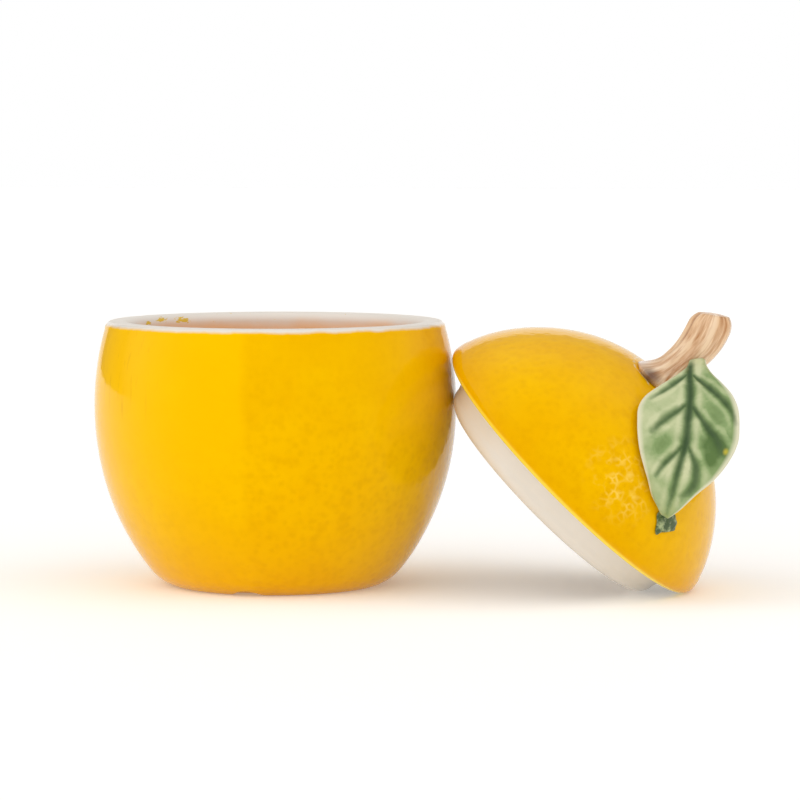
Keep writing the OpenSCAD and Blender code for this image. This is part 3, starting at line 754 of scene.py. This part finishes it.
loops = [foot_loop(share) for share in (0.2, 0.4, 0.6, 0.8, 0.94)]
loops += [stalk_loop(i / STALK_ROWS) for i in range(STALK_ROWS + 1)]
loops += [stalk_loop(1, inset) for inset in (0.12, 0.3, 0.55, 0.8)]
bm = grown(loops, ("along", "side_x", "side_y", "groove", "dark_pool", "white_pool"))
finish_piece(bm, "stalk_handle", leaned, [stalk_tan], "lid", ["stalk"])

# %% [markdown]
# ## The leaf's glaze
# The leaf was cut from a thin slab and its veins were carved with a loop tool. One green glaze covers
# it all. It ran off the ridges beside the cuts, which are pale, and stayed in the cuts, which are dark.
# The rounded edges are pale: thin glaze, and a painted highlight where they catch the light. Here and
# there, mostly on the leaf's right half, it lies thicker, and the leaf is made darker towards its right
# side. So its colour is worked out from where each point lies: "carve" is the cut itself, "pool" is how
# much glaze gathered, with the darkening to the right, "rim" is how far out the point is, and "fleck"
# is how near it is to one drop of yellow.

# %% Mix the leaf's green
leaf_green, tree = new_material("green_glaze_pooled_in_the_veins")
carve, pool, rim, fleck = (node(tree, "Attribute", attribute_name=name).outputs["Fac"]
                           for name in ("carve", "pool", "rim", "fleck"))
place = lid_place(tree)
blotch = node(tree, "TexNoise", {"Vector": place, "Scale": 190.0, "Detail": 3.0, "Roughness": 0.55,
                                 "Distortion": 0.3})
wet = node(tree, "Math", {0: blotch.outputs["Fac"], 1: 1.1, 2: pool}, operation="MULTIPLY_ADD")
deeper = node(tree, "MapRange", {"Value": wet.outputs[0], "From Min": 0.22, "From Max": 0.95})
thin = node(tree, "Mix", {0: deeper.outputs[0], 6: linear("c8cea2"), 7: linear("8ca46b")},
            data_type="RGBA")
deepest = node(tree, "MapRange", {"Value": wet.outputs[0], "From Min": 0.85, "From Max": 1.5})
body = node(tree, "Mix", {0: deepest.outputs[0], 6: thin.outputs[2], 7: linear("557238")},
            data_type="RGBA")
# Painted highlight with thin glaze: the rounded edges are made pale.
edge = node(tree, "MapRange", {"Value": rim, "From Min": 0.87, "From Max": 0.97, "To Max": 0.9})
thin_glaze_and_highlight_edge = node(tree, "Mix", {0: edge.outputs[0], 6: body.outputs[2], 7: linear("e2dfc2")},
             data_type="RGBA")
uneven = node(tree, "Math", {0: blotch.outputs["Fac"], 1: 0.6, 2: carve}, operation="MULTIPLY_ADD")
cut = node(tree, "MapRange", {"Value": uneven.outputs[0], "From Min": 0.36, "From Max": 1.3})
veined = node(tree, "Mix", {0: cut.outputs[0], 6: thin_glaze_and_highlight_edge.outputs[2], 7: linear("36502a")},
              data_type="RGBA")
flecked = node(tree, "Mix", {0: fleck, 6: veined.outputs[2], 7: linear("c9b832")}, data_type="RGBA")
soft = node(tree, "Bump", {"Height": blotch.outputs["Fac"], "Strength": 0.35, "Distance": 0.0004})
glass = node(tree, "BsdfPrincipled", {"Base Color": flecked.outputs[2], "Roughness": 0.2,
                                      "Normal": soft.outputs[0], "Specular IOR Level": 0.25})
finish_material(leaf_green, glass)

# %% [markdown]
# ## The leaf's outline
# The leaf starts on the stalk's side, comes forwards, and droops over the dome to its tip, with both
# edges curled up like a shallow boat. It was cut by hand, so its two sides differ: each is a row of
# widths at even steps along the leaf, as shares of half its width, joined by a smooth curve.

# %% The leaf's widths
LEAF_W, LEAF_T, LEAF_EDGE_T, LEAF_CUP = 27.1, 3.2, 1.8, 2.6
LEAF_ROOT_W, LEAF_TIP_W = 4.8, 3.8
LEFT = [0.15, 0.354, 0.632, 0.884, 0.994, 0.985, 0.941, 0.86, 0.73, 0.566, 0.4]
RIGHT = [0.307, 0.428, 0.63, 0.837, 0.972, 1.026, 1.033, 0.912, 0.706, 0.441, 0.265]
left_row, right_row = ([LEAF_ROOT_W * root] + [w * LEAF_W / 2 for w in row] + [LEAF_TIP_W / 2]
                       for row, root in ((LEFT, 0.25), (RIGHT, 0.75)))


def through(row, s):
    """A smooth curve through numbers or vectors at even steps."""
    last = len(row) - 1
    i = min(last - 1, int(s * last))
    f = s * last - i
    a, b, c, d = row[max(0, i - 1)], row[i], row[i + 1], row[min(last, i + 2)]
    return b + (c - a + (2 * a - 5 * b + 4 * c - d + (3 * (b - c) + d - a) * f) * f) * (f / 2)


def leaf_half(s, t):
    """Half width of the leaf on the side of t, with a blunt tip."""
    return through(left_row if t < 0 else right_row, s) * math.sqrt(1 - 0.7 * s ** 30)


print("leaf:", round(max(left_row) + max(right_row), 1), "mm at its widest")

# %% Lay the leaf's middle line over the dome
PAD_L, PAD_W, PAD_T, PAD_DROP, PAD_TURN = 8.0, 7.0, 1.0, 0.6, 3.5
TIP_H, TIP_TURN, ROOT_UP, ROOT_TURN = 15.0, -52.0, 10, -66
LEAF_ROWS = 170


def on_dome(r, turn, lift):
    """The point on the dome at a distance from its axis and a direction in degrees, lifted off it."""
    e, t = LID_R / 1000, math.radians(turn)
    rise = (dome_z(r - e) - dome_z(r + e)) / (2 * e)
    out = Vector((rise * math.cos(t), rise * math.sin(t), 1)).normalized()
    return Vector((r * math.cos(t), r * math.sin(t), dome_z(r))) + out * lift


tip_r = dome_r(TIP_H)
leaf_tip = on_dome(tip_r, TIP_TURN, LEAF_EDGE_T / 2 + 0.55 * PAD_T + 2 * SLIP_T)
root_s, root_turn = ROOT_UP / STALK_L, math.radians(ROOT_TURN)
reach = stalk_r(root_s) + LEAF_EDGE_T / 2 + SLIP_T
leaf_root = on_line(stalk_line, root_s) + reach * Vector((math.cos(root_turn), math.sin(root_turn), 0))
fall = leaf_tip - leaf_root
leaf_line = [leaf_root + Vector((x * fall.x, y * fall.y, z * fall.z))
             for x, y, z in ((0, 0, 0), (0.16, 0.55, 0.1), (0.78, 1.28, 0.49), (1, 1, 1))]
yaw, tilt = math.radians(12), math.radians(10)
leaf_face = Vector((-math.sin(yaw), -math.cos(yaw) * math.cos(tilt), math.sin(tilt)))
spine = [on_line(leaf_line, i / LEAF_ROWS) for i in range(LEAF_ROWS + 1)]
lengths = [0.0]
for a, b in zip(spine, spine[1:]):
    lengths.append(lengths[-1] + (b - a).length)
print("leaf:", round(lengths[-1], 1), "mm long, root at", [round(c, 1) for c in leaf_root])

# %% [markdown]
# ## The veins
# The midrib and six side veins are written down as lines on the flat leaf, in millimetres along it and
# across it, as a maker would mark them before carving. Each has three widths, at its start, its middle
# and its end, because the tool was pressed harder in some places. Two search trees over points along the
# lines, one for the midrib and one for the side veins, find the nearest cuts for any point of the leaf.

# %% Mark the veins
VEINS = [
    ((1.1, 1.25, 0.85), [(0, -0.5), (7.5, -0.5), (15, 0), (23, 0), (30.6, 0.2), (36, -0.4), (42, -0.3),
                         (50.5, 0.4)]),
    ((0.6, 0.9, 0.6), [(6, -0.3), (9.6, -3.2), (13.5, -6.7), (18, -11)]),
    ((0.7, 1.1, 0.85), [(17.5, 0), (20.7, -3), (24.4, -6.6), (29, -9.6)]),
    ((0.8, 0.8, 0.6), [(30.5, 0), (34.6, -3), (37.4, -4.7), (41, -6)]),
    ((0.5, 0.85, 0.7), [(7, 0), (10.5, 2.6), (16, 7.4), (20.5, 10.9), (25.5, 13.3)]),
    ((0.7, 0.95, 1.3), [(18, 0), (22.9, 3.4), (26.3, 5.9), (29, 8.4), (33.2, 10.6)]),
    ((0.6, 1.3, 0.95), [(30, 0.2), (34, 2.9), (36.6, 4.2), (39.5, 4.7), (42, 3.7), (44.3, 1.6)]),
]
VEIN_STEPS, MIDRIB_DEEP, SIDE_DEEP = 160, 1.0, 0.8


def finder(veins, deep):
    """A search tree over points along some veins, and each point's width and depth."""
    marks = []
    for widths, line in veins:
        line = [Vector((u, v, 0)) for u, v in line]
        for k in range(VEIN_STEPS + 1):
            depth = deep * min(0.25 + k / 16, 1 - (k / VEIN_STEPS) ** 8)
            marks.append((through(line, k / VEIN_STEPS), through(widths, k / VEIN_STEPS), depth))
    found = kdtree.KDTree(len(marks))
    for i, mark in enumerate(marks):
        found.insert(mark[0], i)
    found.balance()
    return found, marks


cuts = [finder(VEINS[:1], MIDRIB_DEEP), finder(VEINS[1:], SIDE_DEEP)]
print("a midrib and", len(VEINS) - 1, "side veins")

# %% [markdown]
# ## The leaf
# Each loop goes once round the slab: over the carved front, round one edge, and back along the plain
# back. The edges are rounded as a wet sponge leaves them. A few spots hold more glaze than the rest, and
# two, the neck and the field in the low loop, hold less.

# %% Where the glaze lies on the leaf
DROP = Vector((31.6, 11.2, 0))
SPOTS = [  # how far along and across the leaf, the size in mm, and how much glaze
    (29.8, 6.4, 2.0, 0.8), (33.6, 7.4, 2.0, 0.9), (31.6, -5.9, 3.0, 0.5), (21.6, 7.3, 2.8, 0.35),
    (41.3, -2.2, 1.8, 0.3), (30.5, 10, 1.5, 0.5), (1.5, 0, 4.5, -0.6), (37, 1.8, 2.0, -0.5)]


def leaf_values(i, v, half, front):
    """carve, pool, rim and fleck for a point of the leaf, v across it."""
    if not front:
        return 0, 0.2, abs(v) / half, 0
    spot = Vector((lengths[i], v, 0))
    carve = ridge = 0
    for found, marks in cuts:
        index, gap = found.find(spot)[1:]
        width, depth = marks[index][1:]
        carve = max(carve, depth * math.exp(-(gap / width) ** 2))
        ridge = max(ridge, depth * math.exp(-((gap / width - 2.1) / 0.8) ** 2))
    thick = sum(much * math.exp(-((spot.x - x) ** 2 + (spot.y - y) ** 2) / size ** 2)
                for x, y, size, much in SPOTS)
    # 0.75 * v / LEAF_W makes the leaf darker towards its right side.
    pool = 0.45 * carve - 0.42 * ridge * (1 - carve) + thick + 0.19 + 0.75 * v / LEAF_W
    return carve, pool, abs(v) / half, 0.8 * ease(1.1 - (spot - DROP).length)


print(len(SPOTS), "spots of thicker or thinner glaze, and one drop of yellow")

# %% Grow the leaf
FRONT, BACK, CUT_DEEP, SWELL = 110, 34, 0.6, 0.15


def leaf_loop(i):
    """A loop round the leaf, at one row of its length."""
    s = i / LEAF_ROWS
    way = line_way(leaf_line, s)
    aside = leaf_face.cross(way).normalized()
    out = way.cross(aside)
    loop = []
    for j in range(FRONT + BACK):
        front = j < FRONT
        t = -math.cos(math.pi * j / FRONT) if front else math.cos(math.pi * (j - FRONT) / BACK)
        half = leaf_half(s, t)
        thick = LEAF_T + (LEAF_EDGE_T - LEAF_T) * max(t * t, s ** 8)
        rounded = math.sqrt(max(0, 1 - abs(t) ** 9) * max(0.1, 1 - s ** 60))
        values = leaf_values(i, t * half, half, front)
        lift = thick / 2 * rounded * (1 if front else -1)
        if front:
            relief = SWELL * ease((1 - abs(t)) / 0.3) - CUT_DEEP * values[0]
            lift += relief * min(1, 6 * (1 - s)) - 0.05
        point = spine[i] + aside * half * t + out * (LEAF_CUP * half / (LEAF_W / 2) * t * t + lift)
        loop.append((point, values))
    return loop


bm = grown([leaf_loop(i) for i in range(LEAF_ROWS + 1)], ("carve", "pool", "rim", "fleck"))
finish_piece(bm, "carved_leaf", leaned, [leaf_green], "lid", ["leaf"])

# %% [markdown]
# ## The pad under the tip
# A dab of dark green clay holds the leaf's tip to the dome. It is a small lump pressed on with a tool,
# narrower below the tip, and its top is uneven. An icosphere is flattened onto the dome: its upper half
# becomes the lump's skin and its lower half lies along the dome.

# %% Mix the pad's dark green
pad_green, tree = new_material("dark_green_glaze_on_the_pad")
place = lid_place(tree)
mottle = node(tree, "TexNoise", {"Vector": place, "Scale": 430.0, "Detail": 3.0, "Roughness": 0.65})
tones = node(tree, "MapRange", {"Value": mottle.outputs["Fac"], "From Min": 0.46, "From Max": 0.66})
green = node(tree, "Mix", {0: tones.outputs[0], 6: linear("3f5628"), 7: linear("a5b27f")},
             data_type="RGBA")
rough = node(tree, "Bump", {"Height": mottle.outputs["Fac"], "Strength": 0.6, "Distance": 0.0004})
glass = node(tree, "BsdfPrincipled", {"Base Color": green.outputs[2], "Roughness": 0.2,
                                      "Normal": rough.outputs[0]})
finish_material(pad_green, glass)

# %% Press the pad on
down = DOME_H / math.hypot(DOME_H, LID_R)
pad_r = tip_r + PAD_DROP * down
bm = bmesh.new()
bmesh.ops.create_icosphere(bm, subdivisions=5, radius=1)
for v in bm.verts:
    x, y, z = v.co
    y = y * (1.2 - 0.75 * ease(x + 0.1)) + 0.1 - 0.4 * ease(x)
    x = x if x < 0 else 0.82 * x
    spread = 1 - 0.12 * noise.noise(Vector((x, y, 0)) * 2.3 + Vector((5, 1, 2)))
    r = pad_r + x * spread * PAD_L / 2 * down
    turn = TIP_TURN + PAD_TURN + math.degrees(y * spread * PAD_W / 2 / pad_r)
    lump = 0.82 + 0.18 * noise.noise(Vector((x, y, z)) * 3.1)
    v.co = on_dome(r, turn, SLIP_T + max(0, z) * PAD_T * lump)
bmesh.ops.remove_doubles(bm, verts=bm.verts, dist=0.001)
bmesh.ops.recalc_face_normals(bm, faces=bm.faces)
finish_piece(bm, "tip_pad", leaned, [pad_green], "lid", ["leaf_tip_pad"])
